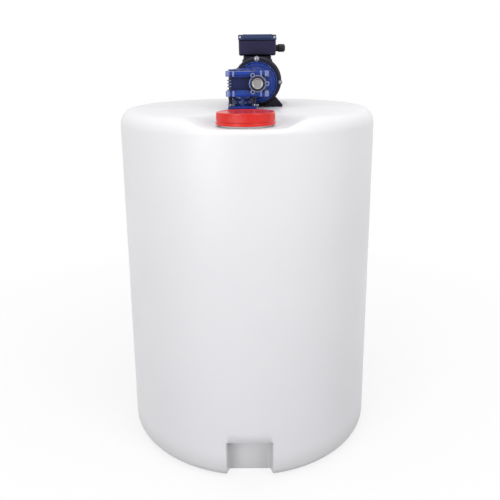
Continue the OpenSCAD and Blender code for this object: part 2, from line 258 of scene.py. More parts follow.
def object_noise(tree, scale, detail=3.0, stretch=None):
    """Noise over the object's own coordinates."""
    coords = tree.nodes.new("ShaderNodeTexCoord").outputs["Object"]
    if stretch:
        mapping = tree.nodes.new("ShaderNodeMapping")
        mapping.inputs["Scale"].default_value = stretch
        tree.links.new(coords, mapping.inputs["Vector"])
        coords = mapping.outputs["Vector"]
    noise = tree.nodes.new("ShaderNodeTexNoise")
    noise.inputs["Detail"].default_value = detail
    noise.inputs["Roughness"].default_value = NOISE_ROUGHNESS
    if isinstance(scale, bpy.types.NodeSocket):
        tree.links.new(scale, noise.inputs["Scale"])
    else:
        noise.inputs["Scale"].default_value = scale
    tree.links.new(coords, noise.inputs["Vector"])
    return noise.outputs["Fac"]


def stretch_range(tree, value, low, high, out_low=0.0, out_high=1.0):
    node = tree.nodes.new("ShaderNodeMapRange")
    for label, number in (
        ("From Min", low), ("From Max", high), ("To Min", out_low), ("To Max", out_high),
    ):
        node.inputs[label].default_value = number
    tree.links.new(value, node.inputs["Value"])
    return node.outputs["Result"]


def make_mottle():
    """Cloudy tone and fine relief of a moulded or painted skin."""
    group, entry, leave = socket_group(
        "skin_mottle",
        [("Cloud Scale", 6.0), ("Grain Scale", 400.0)],
        [("Cloud", "NodeSocketFloat"), ("Grain", "NodeSocketFloat")],
    )
    cloud = object_noise(group, entry.outputs["Cloud Scale"])
    grain = object_noise(group, entry.outputs["Grain Scale"], detail=2.0)
    group.links.new(stretch_range(group, cloud, 0.3, 0.7), leave.inputs["Cloud"])
    group.links.new(grain, leave.inputs["Grain"])
    return group


def make_edge_wear_and_highlight():
    """Mask of edges where paint is thin and where a painted highlight lightens them, broken up by noise.
    """
    group, entry, leave = socket_group(
        "edge_wear_and_painted_highlight",
        [("Break Scale", 300.0), ("Strength", 1.0)],
        [("Mask", "NodeSocketFloat")],
    )
    bevel = group.nodes.new("ShaderNodeBevel")
    bevel.samples = 4
    bevel.inputs["Radius"].default_value = 1.2 * MM
    plain = group.nodes.new("ShaderNodeNewGeometry").outputs["Normal"]
    dot = group.nodes.new("ShaderNodeVectorMath")
    dot.operation = "DOT_PRODUCT"
    group.links.new(bevel.outputs["Normal"], dot.inputs[0])
    group.links.new(plain, dot.inputs[1])
    edge = stretch_range(group, dot.outputs["Value"], 0.99, 0.9)
    patchy = stretch_range(group, object_noise(group, entry.outputs["Break Scale"]), 0.42, 0.62)
    mask = add_math(group, "MULTIPLY", edge, patchy)
    mask = add_math(group, "MULTIPLY", mask, entry.outputs["Strength"], clamp=True)
    group.links.new(mask, leave.inputs["Mask"])
    return group


def make_dust():
    """Mask of dust that settles on faces that look up."""
    group, entry, leave = socket_group(
        "settled_dust",
        [("Amount", 0.3), ("Patch Scale", 25.0)],
        [("Mask", "NodeSocketFloat")],
    )
    parts = group.nodes.new("ShaderNodeSeparateXYZ")
    normal = group.nodes.new("ShaderNodeNewGeometry").outputs["Normal"]
    group.links.new(normal, parts.inputs[0])
    upward = stretch_range(group, parts.outputs["Z"], 0.3, 1.0)
    patches = stretch_range(group, object_noise(group, entry.outputs["Patch Scale"]), 0.35, 0.75)
    mask = add_math(group, "MULTIPLY", upward, patches)
    mask = add_math(group, "MULTIPLY", mask, entry.outputs["Amount"], clamp=True)
    group.links.new(mask, leave.inputs["Mask"])
    return group


def make_painted_shade_mask():
    """Mask for painted shade in corners and recesses that little light reaches."""
    group, entry, leave = socket_group(
        "painted_corner_shade",
        [("Reach", 0.02)],
        [("Mask", "NodeSocketFloat")],
    )
    shelter = group.nodes.new("ShaderNodeAmbientOcclusion")
    shelter.samples = 6
    group.links.new(entry.outputs["Reach"], shelter.inputs["Distance"])
    group.links.new(stretch_range(group, shelter.outputs["AO"], 0.95, 0.6), leave.inputs["Mask"])
    return group


MOTTLE, EDGE_WEAR_AND_HIGHLIGHT, DUST, PAINTED_SHADE_MASK = make_mottle(), make_edge_wear_and_highlight(), make_dust(), make_painted_shade_mask()


# Materials

class Finish:
    """A material under construction: a Principled shader with a colour that builds up."""

    def __init__(self, name, colour, roughness, specular=0.5, **constants):
        self.material = bpy.data.materials.new(name)
        self.material.use_nodes = True
        self.tree = self.material.node_tree
        self.shader = self.tree.nodes["Principled BSDF"]
        self.shader.inputs["Base Color"].default_value = (*colour, 1)
        self.shader.inputs["Roughness"].default_value = roughness
        self.shader.inputs["Specular IOR Level"].default_value = specular
        for label, value in constants.items():
            self.shader.inputs[label.replace("_", " ").title()].default_value = value
        self.base = colour
        self.colour = None
        self.normal = None

    def group(self, tree, **values):
        node = self.tree.nodes.new("ShaderNodeGroup")
        node.node_tree = tree
        for label, value in values.items():
            node.inputs[label.replace("_", " ").title()].default_value = value
        return node

    def tint(self, mask, colour, strength=1.0):
        """Mixes a colour in where the mask is bright."""
        mix = self.tree.nodes.new("ShaderNodeMix")
        mix.data_type = "RGBA"
        factor = add_math(self.tree, "MULTIPLY", mask, strength, clamp=True)
        self.tree.links.new(factor, mix.inputs["Factor"])
        first = mix.inputs[MIX_FIRST]
        if self.colour is None:
            first.default_value = (*self.base, 1)
        else:
            self.tree.links.new(self.colour, first)
        mix.inputs[MIX_SECOND].default_value = (*colour, 1)
        self.colour = mix.outputs[MIX_COLOUR]
        self.tree.links.new(self.colour, self.shader.inputs["Base Color"])

    def tint_where(self, effect, colour, strength=1.0, **values):
        """Mixes a colour in where a shader group's mask is bright."""
        self.tint(self.group(effect, **values).outputs["Mask"], colour, strength)

    def roughness_between(self, mask, low, high):
        self.tree.links.new(
            stretch_range(self.tree, mask, 0.0, 1.0, low, high), self.shader.inputs["Roughness"]
        )

    def relief(self, height, distance, strength=1.0):
        """Adds a bump on top of the ones already there."""
        bump = self.tree.nodes.new("ShaderNodeBump")
        bump.inputs["Distance"].default_value = distance
        bump.inputs["Strength"].default_value = strength
        self.tree.links.new(height, bump.inputs["Height"])
        if self.normal is not None:
            self.tree.links.new(self.normal, bump.inputs["Normal"])
        self.normal = bump.outputs["Normal"]
        self.tree.links.new(self.normal, self.shader.inputs["Normal"])


def tank_plastic():
    """Natural white moulded plastic, a little see-through, with a faint orange peel, and painted shade
    low down, on the rear half of the deck and in the base recess.
    """
    finish = Finish(
        "tank_plastic", (0.85, 0.845, 0.87), 0.36,
        subsurface_weight=0.25, subsurface_scale=0.012,
    )
    finish.shader.inputs["Subsurface Radius"].default_value = (1.0, 1.0, 1.05)
    skin = finish.group(MOTTLE, cloud_scale=3.0, grain_scale=150.0)
    finish.tint(skin.outputs["Cloud"], (0.80, 0.795, 0.82), 0.45)
    place = finish.tree.nodes.new("ShaderNodeSeparateXYZ")
    coords = finish.tree.nodes.new("ShaderNodeTexCoord").outputs["Object"]
    finish.tree.links.new(coords, place.inputs[0])
    # Painted shade: the wall turns darker and bluer towards the bottom.
    painted_shade_below = stretch_range(finish.tree, place.outputs["Z"], 1.0, 0.1)
    finish.tint(painted_shade_below, (0.70, 0.705, 0.74), 0.45)
    # Painted shade: the rear half of the deck is painted greyer.
    rear = stretch_range(finish.tree, place.outputs["Y"], -2 * MM, 4 * MM)
    deck = stretch_range(finish.tree, place.outputs["Z"], SHOULDER_Z, SHOULDER_Z + 30 * MM)
    finish.tint(add_math(finish.tree, "MULTIPLY", rear, deck), (0.74, 0.74, 0.765), 0.35)
    # Painted shade: the base recess is darkened grey where little light reaches it.
    low_painted_shade = finish.group(PAINTED_SHADE_MASK, reach=0.09).outputs["Mask"]
    recess = stretch_range(finish.tree, place.outputs["Z"], 0.20, 0.12)
    finish.tint(add_math(finish.tree, "MULTIPLY", low_painted_shade, recess), (0.50, 0.50, 0.50), 0.6)
    finish.tint_where(DUST, (0.76, 0.76, 0.75), amount=0.12, patch_scale=9.0)
    finish.roughness_between(skin.outputs["Cloud"], 0.30, 0.42)
    finish.relief(skin.outputs["Grain"], 0.35 * MM, 0.35)
    return finish.material


def neck_plastic():
    """Same plastic as the tank's, a little thinner and duller."""
    finish = Finish("neck_plastic", (0.86, 0.88, 0.87), 0.4, subsurface_weight=0.15)
    skin = finish.group(MOTTLE, cloud_scale=20.0, grain_scale=300.0)
    finish.tint(skin.outputs["Cloud"], (0.78, 0.80, 0.79), 0.4)
    finish.relief(skin.outputs["Grain"], 0.2 * MM, 0.3)
    return finish.material


def lid_plastic():
    """Red moulded plastic with a soft gloss, edges lightened by wear and a painted highlight, painted
    shade in its corners, and a red that stays off the white deck.
    """
    finish = Finish("lid_plastic", (0.68, 0.018, 0.012), 0.33, specular=0.3)
    skin = finish.group(MOTTLE, cloud_scale=22.0, grain_scale=500.0)
    finish.tint(skin.outputs["Cloud"], (0.60, 0.018, 0.012), 0.5)
    # Edges lighten partly as wear and partly as a painted highlight.
    finish.tint_where(EDGE_WEAR_AND_HIGHLIGHT, (0.86, 0.14, 0.10), break_scale=180.0, strength=0.45)
    finish.tint_where(DUST, (0.75, 0.50, 0.46), amount=0.08, patch_scale=40.0)
    # Painted shade: tight corners darken to a deep red.
    finish.tint_where(PAINTED_SHADE_MASK, (0.22, 0.006, 0.006), 0.7, reach=0.006)
    bounce = finish.tree.nodes.new("ShaderNodeLightPath").outputs["Is Diffuse Ray"]
    finish.tint(bounce, (0.62, 0.50, 0.50), 0.9)
    finish.roughness_between(skin.outputs["Cloud"], 0.18, 0.30)
    finish.relief(skin.outputs["Grain"], 0.12 * MM, 0.4)
    return finish.material


def cast_paint(name, colour, deep, edge, coat=0.45):
    """Gloss paint over a cast skin: cloudy colour, painted shade in corners and recesses, edges
    lightened by thin paint and a painted highlight, a little dust.
    """
    finish = Finish(name, colour, 0.25, specular=0.1, coat_weight=coat, coat_roughness=0.05)
    skin = finish.group(MOTTLE, cloud_scale=28.0, grain_scale=420.0)
    finish.tint(skin.outputs["Cloud"], deep, 0.6)
    # Painted shade: corners and recesses darken to a tenth of the colour.
    finish.tint_where(PAINTED_SHADE_MASK, tuple(part * 0.12 for part in colour), 0.9, reach=0.03)
    # Edges lighten to the edge colour, partly as worn paint and partly as a painted highlight.
    finish.tint_where(EDGE_WEAR_AND_HIGHLIGHT, edge, break_scale=220.0, strength=0.8)
    finish.tint_where(DUST, (0.42, 0.42, 0.43), amount=0.05, patch_scale=60.0)
    finish.roughness_between(skin.outputs["Cloud"], 0.2, 0.4)
    finish.relief(skin.outputs["Grain"], 0.35 * MM, 0.35)
    return finish.material


def bare_metal(name, colour, roughness, grain=(1, 1, 1)):
    """Turned or plated metal with faint tool marks and duller patches."""
    finish = Finish(name, colour, roughness, metallic=1.0)
    marks = object_noise(finish.tree, 260.0, detail=2.0, stretch=grain)
    dull = tuple(part * 0.72 for part in colour)
    finish.tint(stretch_range(finish.tree, marks, 0.35, 0.7), dull, 0.6)
    finish.roughness_between(marks, roughness * 0.6, roughness * 1.5)
    finish.relief(marks, 0.08 * MM, 0.4)
    return finish.material


def dark_plastic(name, colour, roughness):
    """Black plastic or rubber with paler clouds and a trace of dust."""
    finish = Finish(name, colour, roughness, specular=0.25)
    skin = finish.group(MOTTLE, cloud_scale=45.0, grain_scale=700.0)
    finish.tint(skin.outputs["Cloud"], tuple(part * 1.7 for part in colour), 0.6)
    finish.tint_where(DUST, (0.3, 0.3, 0.3), amount=0.06, patch_scale=70.0)
    finish.relief(skin.outputs["Grain"], 0.15 * MM, 0.5)
    return finish.material


TANK = tank_plastic()
NECK = neck_plastic()
RED = lid_plastic()
BLUE = cast_paint(
    "gearbox_paint", (0.006, 0.050, 0.36), (0.004, 0.022, 0.20), (0.30, 0.42, 0.80),
)
# Painted shade: a darker copy of the gearbox paint for the housing's set-back body.
BLUE_IN_PAINTED_SHADE = cast_paint(
    "painted_shade_blue_paint", (0.004, 0.014, 0.105), (0.003, 0.008, 0.06), (0.16, 0.24, 0.55), coat=0.3,
)
# Painted highlight: a lighter copy of the gearbox paint for lugs, fins, ears and edges.
BLUE_IN_PAINTED_HIGHLIGHT = cast_paint(
    "painted_highlight_blue_paint", (0.20, 0.24, 0.46), (0.10, 0.14, 0.38), (0.50, 0.54, 0.70), coat=0.6,
)
NAVY = cast_paint(
    "motor_paint", (0.009, 0.008, 0.026), (0.014, 0.012, 0.040), (0.09, 0.09, 0.15), coat=0.25,
)
BOX_NAVY = cast_paint(
    "box_paint", (0.018, 0.014, 0.050), (0.014, 0.015, 0.046), (0.07, 0.08, 0.14), coat=0.2,
)
BOX_LID = cast_paint(
    "box_lid_paint", (0.024, 0.042, 0.115), (0.020, 0.034, 0.092), (0.16, 0.23, 0.38),
)
CAP = bare_metal("bright_cap", (0.34, 0.33, 0.34), 0.26)
ZINC = bare_metal("zinc", (0.32, 0.32, 0.38), 0.25)
STAINLESS = bare_metal("stainless_steel", (0.60, 0.61, 0.63), 0.26, grain=(1, 1, 0.06))
BLACK = dark_plastic("black_plastic", (0.012, 0.012, 0.014), 0.42)
RUBBER = dark_plastic("seal_rubber", (0.02, 0.02, 0.02), 0.7)


# Tank

def smooth_step(value):
    value = min(1.0, max(0.0, value))
    return value * value * (3 - 2 * value)


def soft_min(first, second, blend):
    """Smaller of two heights, with the corner between them rounded."""
    near = max(0.0, blend - abs(first - second)) / blend
    return min(first, second) - near * near * blend / 4


def from_seat(x, y):
    """Distance from the middle of the lid's seat, which is open to the front."""
    return math.hypot(x - NECK_MID.x, max(0.0, y - NECK_MID.y))


def deck_height(x, y):
    """Height of the outer face of the deck before its shoulder is taken off."""
    edge = 6 * MM
    beside = smooth_step((abs(x - WORM.x) - MOTOR_PLACE_HALF) / edge + 0.5)
    behind = smooth_step((y - MOTOR_PLACE_BACK) / edge + 0.5)
    ramp = (RIM_Z - PLATFORM_Z) * min(1.0, max(0.0, y) / FLAT_R) * max(beside, behind)
    off_seat = from_seat(x, y)
    sideways = abs(x - NECK_MID.x) / max(off_seat, SEAT_R)
    bank = SEAT_BANK + (SIDE_BANK - SEAT_BANK) * sideways ** 6
    rise = smooth_step((off_seat - SEAT_R) / bank)
    return soft_min(PLATFORM_Z + ramp, SEAT_Z + (PLATFORM_Z + edge - SEAT_Z) * rise, edge)


def tank_outline():
    """Half section of the tank's outer face, from the middle of its base to its deck."""
    rings = 10 * MM
    floor_rings = 3 * rings
    floor = [(i * floor_rings, 0.0) for i in range(int((TANK_R - BASE_R) / floor_rings))]
    foot = arc((TANK_R - BASE_R, BASE_R), BASE_R, -90, 0, 8)
    wall = [(TANK_R, BASE_R + (SHOULDER_Z - BASE_R) * i / 24) for i in range(1, 24)]
    shoulder = arc((FLAT_R, SHOULDER_Z), SHOULDER_R, 0, 90, 24)
    count = int(FLAT_R / rings)
    deck = [(FLAT_R * (count - i) / count, RIM_Z) for i in range(1, count + 1)]
    return floor + foot + wall + shoulder + deck


def cut_faces(bm, inside, point, normal):
    """Adds a line of edges where a plane crosses the chosen faces."""
    faces = [face for face in bm.faces if inside(face.calc_center_median())]
    edges = {edge for face in faces for edge in face.edges}
    verts = {vert for face in faces for vert in face.verts}
    bmesh.ops.bisect_plane(
        bm, geom=[*verts, *edges, *faces], dist=1e-6, plane_co=point, plane_no=normal,
    )


def press_recess(bm):
    """Pushes the front of the base back into a flat-backed recess with soft edges."""
    soft = 3.5 * MM
    lines = 8
    reach = RECESS_HALF + RECESS_FLARE + soft
    zone_deep, zone_half, zone_h = 30 * MM, 110 * MM, 170 * MM

    def at_front(centre):
        near = centre.y < RECESS_BACK_Y + zone_deep and abs(centre.x) < zone_half
        return near and centre.z < zone_h

    for i in range(lines + 1):
        x = RECESS_HALF - soft + (reach - RECESS_HALF + soft) * i / lines
        for side in (-1, 1):
            cut_faces(bm, at_front, (side * x, 0, 0), (1, 0, 0))
    for i in range(lines + 1):
        z = RECESS_H - 2 * soft + 3 * soft * i / lines
        cut_faces(bm, at_front, (0, 0, z), (0, 0, 1))
    cut_faces(bm, at_front, (0, RECESS_BACK_Y, 0), (0, 1, 0))
    for vert in bm.verts:
        x, y, z = vert.co
        if y < RECESS_BACK_Y and z < zone_h:
            sideways = smooth_step((reach - abs(x)) / (reach - RECESS_HALF + soft))
            upward = smooth_step((RECESS_H + soft - z) / (3 * soft))
            vert.co.y = y + (RECESS_BACK_Y - y) * sideways * upward


def shape_deck(bm):
    """Gives the deck its level front, its rising rear half and the lid's open seat."""
    spare = 14 * MM
    rear_corner, front_corner, front_reach = 1 * MM, 24 * MM, 200 * MM

    def near_seat(face):
        centre = face.calc_center_median()
        return centre.z > SHOULDER_Z and from_seat(centre.x, centre.y) < SEAT_R + SIDE_BANK + spare

    edges = {edge for face in bm.faces if near_seat(face) for edge in face.edges}
    bmesh.ops.subdivide_edges(bm, edges=list(edges), cuts=2, use_grid_fill=True)
    for vert in bm.verts:
        x, y, z = vert.co
        if z > SHOULDER_Z + 1 * MM:
            past_flat = max(0.0, math.hypot(x, y) - FLAT_R)
            if past_flat > 0:
                z = SHOULDER_Z + math.sqrt(max(0.0, SHOULDER_R ** 2 - past_flat ** 2))
            corner = rear_corner + (front_corner - rear_corner) * smooth_step(-y / front_reach)
            vert.co.z = soft_min(z, deck_height(x, y), corner)


def open_hole(bm, x, y, radius):
    """Takes a round hole out of the deck."""
    gone = []
    for face in bm.faces:
        centre = face.calc_center_median()
        if centre.z > SHOULDER_Z and math.hypot(centre.x - x, centre.y - y) < radius:
            gone.append(face)
    bmesh.ops.delete(bm, geom=gone, context="FACES")


def make_tank():
    """Hollow shell with its base recess, its deck, and the holes under the neck and the column."""
    neck_hole_r, column_hole_r = NECK_BORE_R + 2 * MM, 34 * MM
    bm = bmesh.new()
    turned(bm, tank_outline(), Matrix.Identity(4), steps=192)
    bmesh.ops.recalc_face_normals(bm, faces=bm.faces)
    shape_deck(bm)
    press_recess(bm)
    bmesh.ops.remove_doubles(bm, verts=bm.verts, dist=1e-5)
    bmesh.ops.dissolve_degenerate(bm, edges=bm.edges, dist=1e-5)
    open_hole(bm, NECK_MID.x, NECK_MID.y, neck_hole_r)
    open_hole(bm, OUTPUT.x, OUTPUT.y, column_hole_r)
    tank = finish_piece(
        "tank_shell", bm, TANK, "tank",
        WALL_NODES + ["tank_base", "base_recess", "tank_top"], angle=60, outward=False,
    )
    wall = tank.modifiers.new("wall", "SOLIDIFY")
    wall.thickness = WALL_T
    wall.offset = -1


def make_neck():
    """Neck with a rolled rim and a thread that winds round it."""
    bm = bmesh.new()
    height = NECK_HIGH.z - NECK_LOW.z
    place = upright(NECK_MID.x, NECK_MID.y, NECK_LOW.z)
    outline = softened([
        (NECK_BORE_R, 0.1 * MM), (NECK_BORE_R, height), (NECK_R, height), (NECK_R, 0.1 * MM),
        (NECK_BORE_R, 0.1 * MM),
    ], 1.6 * MM)
    turned(bm, outline, place, steps=96)
    thread_turns, pitch, turn_steps = 1.9, 9 * MM, 72
    root_r, start_z, tall = NECK_R - 0.5 * MM, height - 22 * MM, 4 * MM
    profile = [
        bm.verts.new((across, 0, start_z + tall * up))
        for across, up in ((root_r, 0), (THREAD_R, 0.35), (THREAD_R, 0.65), (root_r, 1))
    ]
    section = bm.faces.new(profile)
    known = set(bm.verts) - set(profile)
    steps = int(turn_steps * thread_turns)
    bmesh.ops.spin(
        bm, geom=[section, *section.edges, *profile], cent=(0, 0, 0), axis=(0, 0, 1),
        dvec=(0, 0, pitch / turn_steps), angle=FULL_TURN * thread_turns, steps=steps,
    )
    thread = [vert for vert in bm.verts if vert not in known]
    bmesh.ops.transform(bm, matrix=place, verts=thread)
    finish_piece("filling_neck_thread", bm, NECK, "tank", ["filling_neck"])


def make_lid():
    """Screw lid with fine ribs over a plain bead, a rounded rim and a dished top."""
    bm = bmesh.new()
    rib_count, rib_steps, rib_deep = 96, 4, 0.7 * MM
    height = LID_HIGH.z - LID_LOW.z
    inner, skirt_r = LID_R - LID_T, LID_R - 1.6 * MM
    bead_h, dish_deep, rib_fade = 7.5 * MM, 1.4 * MM, 1.2 * MM
    rib_low, rib_high = bead_h + 4.5 * MM, height - 5.5 * MM
    outline = softened([
        (0.0, height - LID_T), (inner, height - LID_T), (inner, 0.0), (LID_R, 0.0),
        (LID_R, bead_h), (skirt_r - 0.9 * MM, bead_h + 1.1 * MM), (skirt_r, bead_h + 2.6 * MM),
        (skirt_r, rib_low), (skirt_r, rib_low + rib_fade), (skirt_r, rib_high - rib_fade),
        (skirt_r, rib_high), (skirt_r, height), (skirt_r - 10 * MM, height),
        (skirt_r - 13 * MM, height - dish_deep), (0.0, height - dish_deep),
    ], 3.2 * MM, 4)
    place = upright(NECK_MID.x, NECK_MID.y, LID_LOW.z)
    turned(bm, outline, place, steps=rib_count * rib_steps)
    for vert in bm.verts:
        off = Vector((vert.co.x - NECK_MID.x, vert.co.y - NECK_MID.y))
        up = vert.co.z - LID_LOW.z
        if off.length > skirt_r - 0.3 * MM and rib_low + 0.5 * MM < up < rib_high - 0.5 * MM:
            turn = math.atan2(off.y, off.x) / FULL_TURN * rib_count
            dip = rib_deep * (0.5 - 0.5 * math.cos(turn * FULL_TURN))
            off = off.normalized() * (off.length - dip)
            vert.co.x, vert.co.y = NECK_MID.x + off.x, NECK_MID.y + off.y
    finish_piece("screw_lid", bm, RED, "lid", ["lid"])


# Fasteners

WASHER_T = 1.6 * MM


def hex_bolt(bm, point, direction, across, washer=True, tall=5.3 * MM):
    """Hexagon bolt head with a chamfered crown, with or without a washer."""
    place = facing(point, direction)
    if washer:
        peg(bm, across * 0.75, WASHER_T, place, 0.4 * MM, 20, corner_steps=1)
    start = WASHER_T if washer else 0.0
    prism(bm, hexagon(across), tall, place @ upright(0, 0, start), 0.6 * MM)


def socket_screw(bm, point, direction, head, tall):
    """Cap screw with a round socket."""
    radius, socket_r, deep = head / 2, head * 0.27, tall * 0.55
    outline = softened([
        (0, 0), (radius, 0), (radius, tall), (socket_r, tall), (socket_r, tall - deep), (0, tall - deep),
    ], 0.5 * MM, 2)
    turned(bm, outline, facing(point, direction), steps=18)


# Gearbox

def make_output_flange():
    """Square foot plate with a ribbed column for the output bearing."""
    bm = bmesh.new()
    bore_r, waist_r, collar_r, root_r = 14.5 * MM, 27 * MM, 32 * MM, 35 * MM
    height = FOOT_HIGH.z - FOOT_LOW.z
    place = upright(OUTPUT.x, OUTPUT.y, FOOT_LOW.z)
    block(bm, FOOT_LOW, (FOOT_HIGH.x, FOOT_HIGH.y, FOOT_LOW.z + FOOT_T), 2.5 * MM)
    outline = softened([
        (bore_r, FOOT_T), (root_r, FOOT_T), (waist_r, FOOT_T + 7 * MM), (waist_r, height - 6 * MM),
        (collar_r, height - 4 * MM), (collar_r, height), (bore_r, height), (bore_r, FOOT_T),
    ], 2.2 * MM)
    turned(bm, outline, place, steps=64)
    rib_top = height - 1 * MM
    rib = softened([(0, FOOT_T), (5.5 * MM, FOOT_T), (4.5 * MM, rib_top), (0, rib_top)], 1.5 * MM)
    for across, along in ring_of(4, waist_r):
        turned(bm, rib, place @ upright(across, along), steps=20)
    finish_piece("output_flange_casting", bm, BLUE, "tank", ["output_flange"])


def corner_points(reach):
    """Four places round the output shaft, at the corners of a square."""
    return [
        (OUTPUT.x + across * reach, OUTPUT.y + along * reach) for across in (-1, 1) for along in (-1, 1)
    ]


def make_posts():
    """Waisted posts between the foot plate and the gearbox."""
    low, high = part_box("spacer_posts")
    tall = high.z - low.z
    end_r, waist_r = 6 * MM, 4.6 * MM
    bm = bmesh.new()
    outline = softened([
        (0, 0), (end_r, 0), (end_r, 6 * MM), (waist_r, 8 * MM),
        (waist_r, tall - 8 * MM), (end_r, tall - 6 * MM), (end_r, tall), (0, tall),
    ], 0.8 * MM)
    for x, y in corner_points(POST_REACH):
        turned(bm, outline, upright(x, y, low.z), steps=24)
    finish_piece("gearbox_posts", bm, NAVY, "tank", ["spacer_posts"])


def make_gearbox():
    """Cast housing: a body set back between two rims, corner lugs, fins and the worm's barrel, the body
    in painted shade and the lugs, fins and a top edge strip in painted highlight.
    """
    bm, highlighted, core = bmesh.new(), bmesh.new(), bmesh.new()
    low, high = BOX_LOW, BOX_HIGH
    mid_x = (low.x + high.x) / 2
    rim_h, step_h = 14 * MM, 6 * MM
    lug_h, lug_r, rib_r = 17 * MM, 7.5 * MM, 4 * MM
    core_low = (low.x + 9 * MM, low.y + 17 * MM, low.z + 3 * MM)
    block(core, core_low, (high.x - 8 * MM, high.y - 4 * MM, high.z - 3 * MM), 6 * MM, 4)
    # A strip along the top front edge, in the painted-highlight paint.
    edge_low = (low.x + 12 * MM, low.y + 3.2 * MM, high.z - 2.6 * MM)
    block(highlighted, edge_low, (WORM.x - 6 * MM, low.y + 9 * MM, high.z), 1.2 * MM)
    for up in (False, True):
        rim_z = high.z - rim_h if up else low.z
        step_z = rim_z - step_h if up else rim_z + step_h
        lug_z = high.z - lug_h if up else low.z
        for inset, z, radius in ((5.5 * MM, rim_z, 3.5 * MM), (11 * MM, step_z, 2.5 * MM)):
            front_y, back_y = low.y + inset - 2.5 * MM, high.y - inset + 3.5 * MM
            block(bm, (low.x + inset, front_y, z), (high.x - inset, back_y, z + rim_h), radius, 4)
        for side in (-1, 1):
            lug_x, rib_x = mid_x + side * (high.x - mid_x - lug_r), mid_x + side * 41.5 * MM
            for y in (low.y + 8.5 * MM, high.y - 8.5 * MM):
                peg(highlighted, lug_r, lug_h, upright(lug_x, y, lug_z), 2 * MM, 28)
            peg(highlighted, rib_r, lug_h, upright(rib_x, low.y + 4.5 * MM, lug_z), 1.5 * MM, 20)
    barrel_l = high.y - low.y - 4 * MM
    barrel = softened([
        (0.0, 3 * MM), (21 * MM, 3 * MM), (21 * MM, 0.0), (25.5 * MM, 0.0), (25.5 * MM, 5 * MM),
        (29 * MM, 10 * MM), (29 * MM, barrel_l), (0.0, barrel_l),
    ], 1.4 * MM)
    turned(bm, barrel, facing((WORM.x, low.y, WORM.z), (0, 1, 0)), steps=72)
    fin_half = 1.9 * MM
    for rise in (-8.5 * MM, 0.5 * MM, 9.5 * MM):
        fin_low = (low.x + 5 * MM, low.y + 12 * MM, WORM.z + rise - fin_half)
        block(highlighted, fin_low, (low.x + 18 * MM, high.y - 12 * MM, WORM.z + rise + fin_half), 1.3 * MM)
    finish_piece("gearbox_casting", bm, BLUE, "tank", ["gearbox_housing"])
    # The set-back body gets the painted-shade paint; the lugs, fins and edge strip get the
    # painted-highlight paint.
    finish_piece("gearbox_core", core, BLUE_IN_PAINTED_SHADE, "tank")
    finish_piece("gearbox_lugs_and_fins", highlighted, BLUE_IN_PAINTED_HIGHLIGHT, "tank")


def make_worm_end():
    """Dark bearing ring, the bright cap in it, and three drilled ears on the housing."""
    bm = bmesh.new()
    low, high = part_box("worm_bearing_cover")
    cap_low, cap_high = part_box("worm_end_cap")
    cap_r = (cap_high.x - cap_low.x) / 2
    place = facing((WORM.x, high.y, WORM.z), (0, -1, 0))
    inner_r, ring_r = cap_r - 1 * MM, cap_r + 3.6 * MM
    sunk, thick = -3 * MM, high.y - low.y - 1 * MM
    ring = softened([
        (inner_r, sunk), (ring_r, sunk), (ring_r, thick), (inner_r, thick), (inner_r, sunk),
    ], 1.0 * MM)
    turned(bm, ring, place, steps=64)
    finish_piece("worm_bearing_ring", bm, BLACK, "tank", ["worm_bearing_cover"])
    bm = bmesh.new()
    face_y = high.y - cap_low.y
    dish = softened([
        (0.0, 0.0), (cap_r - 0.5 * MM, 0.0), (cap_r - 0.5 * MM, face_y), (cap_r - 3 * MM, face_y),
        (cap_r - 4.2 * MM, face_y - 1.2 * MM), (0.0, face_y - 1.2 * MM),
    ], 0.9 * MM)
    turned(bm, dish, place, steps=64)
    for up in (-4.5 * MM, 4.5 * MM):
        point = (WORM.x + 8 * MM, cap_low.y + 1.2 * MM, WORM.z + up)
        peg(bm, 1.6 * MM, 0.8 * MM, facing(point, (0, -1, 0)), 0.4 * MM, 16)
    finish_piece("worm_cap_disc", bm, CAP, "tank", ["worm_end_cap"])
    bm = bmesh.new()
    hole_r, ear_r, ear_l, hole_end = 3.2 * MM, 7.2 * MM, 10 * MM, 2 * MM
    ear = softened([
        (0, hole_end), (hole_r, hole_end), (hole_r, ear_l), (ear_r, ear_l), (ear_r, 0), (0, 0),
    ], 1.2 * MM)
    for across, up in ring_of(3, EAR_RING_R):
        point = (WORM.x + across, BOX_LOW.y + 8 * MM, WORM.z + up)
        turned(bm, ear, facing(point, (0, -1, 0)), steps=28)
    rim_in, rim_out, rim_back = 21.5 * MM, 25.5 * MM, -6 * MM
    rim = softened([
        (rim_in, -2 * MM), (rim_in, 0), (rim_out, 0), (rim_out, rim_back), (rim_in, rim_back),
        (rim_in, -2 * MM),
    ], 1 * MM)
    turned(bm, rim, facing((WORM.x, BOX_LOW.y - 0.3 * MM, WORM.z), (0, -1, 0)), steps=72)
    # The ears and the rim round the cover get the painted-highlight paint.
    finish_piece("worm_cover_ears", bm, BLUE_IN_PAINTED_HIGHLIGHT, "tank")


def make_output_covers():
    """Turned covers over the output bearings: a stepped upper one and a bored lower one."""
    bore_r = 12.8 * MM
    for node in ("gearbox_top_cover", "gearbox_bottom_cover"):
        low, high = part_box(node)
        radius, thick = (high.x - low.x) / 2, high.z - low.z
        rim = thick * 0.75
        bm = bmesh.new()
        if node == "gearbox_top_cover":
            outline = [
                (0, 0), (radius, 0), (radius, rim), (radius - 16 * MM, rim),
                (radius - 18 * MM, thick), (0, thick),
            ]
        else:
            outline = [(bore_r, 0), (radius, 0), (radius, thick), (bore_r, thick), (bore_r, 0)]
        turned(bm, softened(outline, 0.9 * MM), upright(OUTPUT.x, OUTPUT.y, low.z), steps=72)
        finish_piece(node + "_turned", bm, BLUE, "tank", [node])


